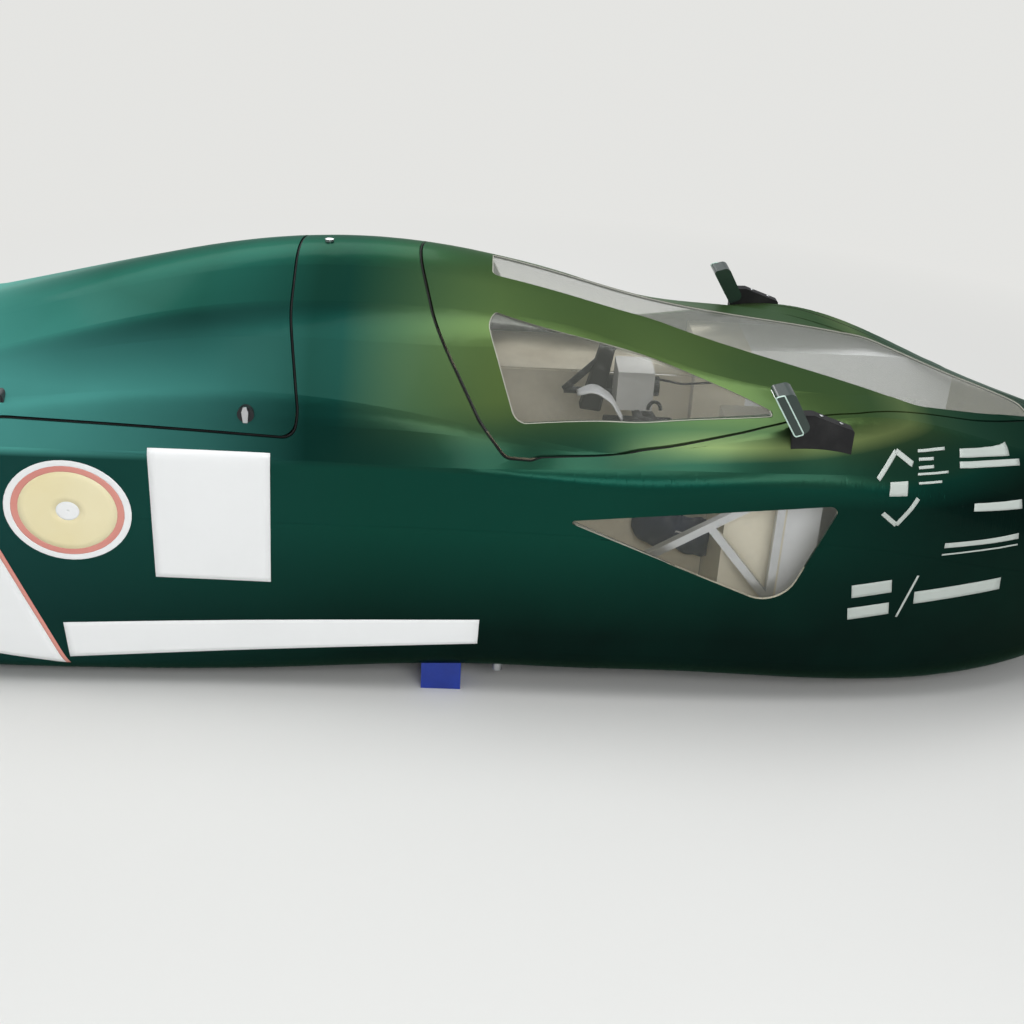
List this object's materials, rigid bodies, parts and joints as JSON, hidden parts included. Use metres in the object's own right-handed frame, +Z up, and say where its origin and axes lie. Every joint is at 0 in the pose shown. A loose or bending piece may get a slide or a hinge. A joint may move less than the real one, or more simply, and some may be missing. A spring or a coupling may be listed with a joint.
{
  "type": "faired recumbent three-wheeler",
  "caption": "Low fully faired motor-driven recumbent three-wheeler with a clear windscreen, front-hinged canopy, rear hatch, steered front wheels and one rear wheel.",
  "frame": {"origin": "on the floor, midway between nose and tail and between the sides", "axes": "+X toward the nose, +Y to the driver's left, +Z up"},
  "size_m": [3.168, 0.8006, 0.7399],
  "materials": {
    "body_green": "satin",
    "clear_pane": "clear",
    "steel": "brushed",
    "alloy": "satin",
    "black_metal": "satin",
    "black_plastic": "matt",
    "tyre": "matt",
    "rubber": "matt",
    "white_panel": "satin",
    "cream_panel": "matt",
    "seat_fabric": "woven",
    "mirror_shell": "gloss",
    "mirror_face": "polished",
    "blue_block": "matt"
  },
  "bodies": {
    "body": {"lower_shell": "body_green", "body_top": "body_green", "nose_tip": "body_green", "tail_tip": "body_green", "lower_window_left": "clear_pane", "lower_window_right": "clear_pane", "canopy_hinge": "steel", "hatch_hinge": "steel", "studs": "steel", "front_axle_beam": "black_metal", "rear_frame": "alloy", "motor_block": "black_metal", "battery_box": "black_plastic", "wheel_box_left": "white_panel", "wheel_box_right": "white_panel", "side_truss_left": "alloy", "side_truss_right": "alloy", "bulkhead": "cream_panel", "seat_pan": "black_plastic", "seat_cushion": "seat_fabric", "control_post": "black_metal", "grips": "rubber", "display_box": "white_panel", "foot_rest": "alloy", "mirror_foot_left": "black_plastic", "mirror_foot_right": "black_plastic", "mirror_housing_left": "mirror_shell", "mirror_housing_right": "mirror_shell", "mirror_glasses": "mirror_face", "parking_blocks": "blue_block"},
    "wheel_front_left": {"tyre_front_left": "tyre", "wheel_front_left": "alloy"},
    "wheel_front_right": {"tyre_front_right": "tyre", "wheel_front_right": "alloy"},
    "wheel_rear": {"tyre_rear": "tyre", "wheel_rear": "alloy"},
    "knuckle_left": {"knuckle_left": "alloy"},
    "knuckle_right": {"knuckle_right": "alloy"},
    "tie_rod": {"tie_rod": "steel"},
    "canopy": {"canopy": "body_green", "windscreen": "clear_pane", "canopy_window_left": "clear_pane", "canopy_window_right": "clear_pane"},
    "hatch": {"rear_hatch": "body_green", "hatch_latches": "steel"}
  },
  "joints": [
    {"name": "steer_left", "type": "hinge", "parent": "body", "child": "knuckle_left", "pos_m": [0.79, 0.202, 0.239], "axis": [0, 0, 1], "range_deg": [-10, 10]},
    {"name": "steer_right", "type": "hinge", "parent": "body", "child": "knuckle_right", "pos_m": [0.79, -0.202, 0.239], "axis": [0, 0, 1], "range_deg": [-10, 10]},
    {"name": "tie_rod_slide", "type": "slide", "parent": "body", "child": "tie_rod", "axis": [0, 1, 0], "range_m": [-0.0109, 0.0109]},
    {"name": "spin_front_left", "type": "hinge", "parent": "knuckle_left", "child": "wheel_front_left", "pos_m": [0.79, 0.252, 0.239], "axis": [0, 1, 0], "continuous": true},
    {"name": "spin_front_right", "type": "hinge", "parent": "knuckle_right", "child": "wheel_front_right", "pos_m": [0.79, -0.252, 0.239], "axis": [0, 1, 0], "continuous": true},
    {"name": "spin_rear", "type": "hinge", "parent": "body", "child": "wheel_rear", "pos_m": [-0.76, 0, 0.239], "axis": [0, 1, 0], "continuous": true},
    {"name": "canopy_hinge", "type": "hinge", "parent": "body", "child": "canopy", "pos_m": [1.216, 0, 0.4549], "axis": [0, 1, 0], "range_deg": [0, 50]},
    {"name": "hatch_hinge", "type": "hinge", "parent": "body", "child": "hatch", "pos_m": [-1.142, 0, 0.52741], "axis": [0, -1, 0], "range_deg": [0, 45]}
  ],
  "couplings": [
    {"joint": "steer_right", "follows": "steer_left", "ratio": 1},
    {"joint": "tie_rod_slide", "follows": "steer_left", "m_per_rad": -0.062}
  ]
}
